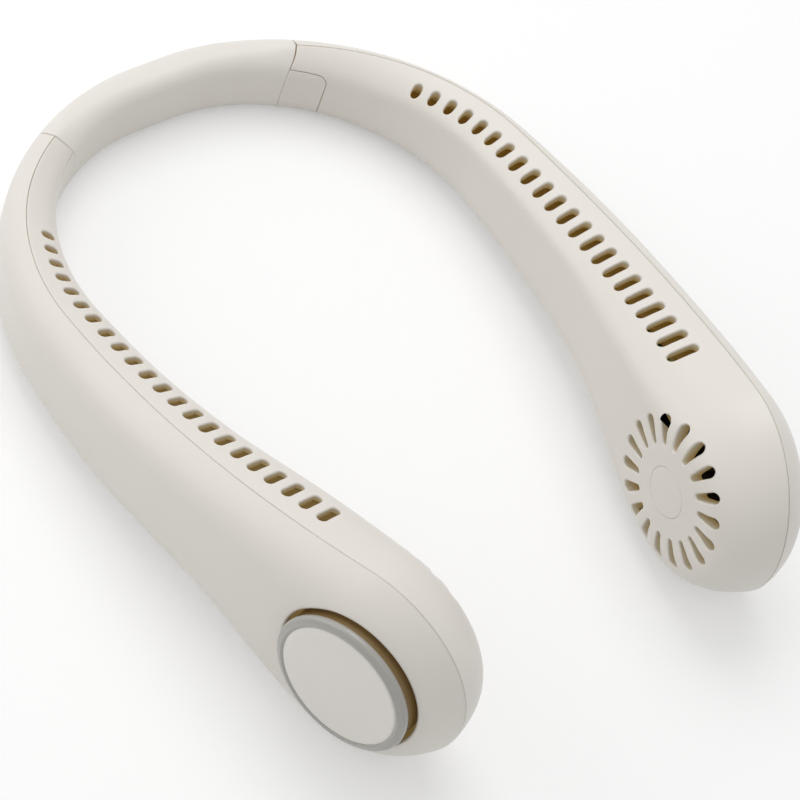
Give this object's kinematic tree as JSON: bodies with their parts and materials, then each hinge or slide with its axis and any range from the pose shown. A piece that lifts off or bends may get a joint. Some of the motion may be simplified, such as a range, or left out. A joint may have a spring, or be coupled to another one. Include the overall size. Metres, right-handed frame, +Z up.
{
  "type": "neck fan",
  "caption": "Bladeless U-shaped neck fan: soft neck band, two hollow swinging arms with slotted air outlets, round heads with a vent inside and a cap outside.",
  "frame": {"origin": "bottom centre of the bounding box, on the table the fan lies on", "axes": "+Z up from the table, +Y towards the neck band, -Y towards the round heads, X across the two arms; the charging socket is on the +X arm"},
  "size_m": [0.1536, 0.2031, 0.0558],
  "materials": {
    "band_soft": "matt soft-touch ivory",
    "black_plastic": "dark moulding",
    "bronze": "sintered",
    "cable_black": "flat cable",
    "cap_plastic": "smooth ivory",
    "cell_wrap": "foil pouch",
    "circuit_board": "glass-fibre board",
    "copper_wire": "enamelled winding",
    "fan_black": "black moulding",
    "grey_plastic": "glass-filled moulding",
    "ivory_plastic": "fine satin ivory",
    "laminated_steel": "stamped stack",
    "magnet_grey": "sintered ring",
    "ring_plastic": "milky grey, light-guiding",
    "rotor_steel": "drawn cup",
    "screw_steel": "zinc plated",
    "shaft_steel": "ground",
    "socket_steel": "nickel plated",
    "spring_steel": "rolled strip",
    "switch_black": "moulded"
  },
  "bodies": {
    "band": {"band_sleeve": "band_soft", "band_spine": "spring_steel", "band_cable": "cable_black", "right_band_end": "grey_plastic", "left_band_end": "grey_plastic", "right_hinge_pin": "screw_steel", "left_hinge_pin": "screw_steel"},
    "right_arm": {"right_hinge_tongue": "grey_plastic", "right_hinge_screw": "screw_steel", "right_joint_cover": "ivory_plastic", "right_outer_shell": "ivory_plastic", "right_inner_shell": "ivory_plastic", "right_vent_badge": "ivory_plastic", "right_motor_bearing": "bronze", "right_stator_core": "laminated_steel", "right_stator_coils": "copper_wire", "right_motor_board": "circuit_board", "right_motor_mount": "grey_plastic", "right_motor_screws": "screw_steel", "right_cap_seat": "grey_plastic", "right_light_board": "circuit_board", "right_cap_ring": "ring_plastic", "right_arm_cell": "cell_wrap", "right_duct_floor": "black_plastic", "right_arm_cable": "cable_black", "right_cap_disc": "cap_plastic", "right_main_board": "circuit_board", "right_usb_socket": "socket_steel"},
    "left_arm": {"left_hinge_tongue": "grey_plastic", "left_hinge_screw": "screw_steel", "left_joint_cover": "ivory_plastic", "left_outer_shell": "ivory_plastic", "left_inner_shell": "ivory_plastic", "left_vent_badge": "ivory_plastic", "left_motor_bearing": "bronze", "left_stator_core": "laminated_steel", "left_stator_coils": "copper_wire", "left_motor_board": "circuit_board", "left_motor_mount": "grey_plastic", "left_motor_screws": "screw_steel", "left_cap_seat": "grey_plastic", "left_light_board": "circuit_board", "left_cap_ring": "ring_plastic", "left_arm_cell": "cell_wrap", "left_duct_floor": "black_plastic", "left_arm_cable": "cable_black", "left_power_switch": "switch_black"},
    "right_fan": {"right_impeller": "fan_black", "right_rotor_cup": "rotor_steel", "right_magnet_ring": "magnet_grey", "right_motor_shaft": "shaft_steel"},
    "left_fan": {"left_impeller": "fan_black", "left_rotor_cup": "rotor_steel", "left_magnet_ring": "magnet_grey", "left_motor_shaft": "shaft_steel"},
    "power_button": {"left_cap_disc": "cap_plastic"}
  },
  "joints": [
    {"name": "right_arm_swing", "type": "hinge", "parent": "band", "child": "right_arm", "pos_m": [0.02873, 0.09173, 0.01], "axis": [0, 0, 1], "range_deg": [-2, 10]},
    {"name": "left_arm_swing", "type": "hinge", "parent": "band", "child": "left_arm", "pos_m": [-0.02873, 0.09173, 0.01], "axis": [0, 0, -1], "range_deg": [-2, 10]},
    {"name": "right_fan_spin", "type": "hinge", "parent": "right_arm", "child": "right_fan", "pos_m": [0.05613, -0.07621, 0.0278], "axis": [0.9641, -0.2655, 0], "continuous": true},
    {"name": "left_fan_spin", "type": "hinge", "parent": "left_arm", "child": "left_fan", "pos_m": [-0.05613, -0.07621, 0.0278], "axis": [-0.9641, -0.2655, 0], "continuous": true},
    {"name": "power_button_press", "type": "slide", "parent": "left_arm", "child": "power_button", "axis": [0.9641, 0.2655, 0], "range_m": [0, 0.0008], "stiffness_N_per_m": 1500}
  ]
}
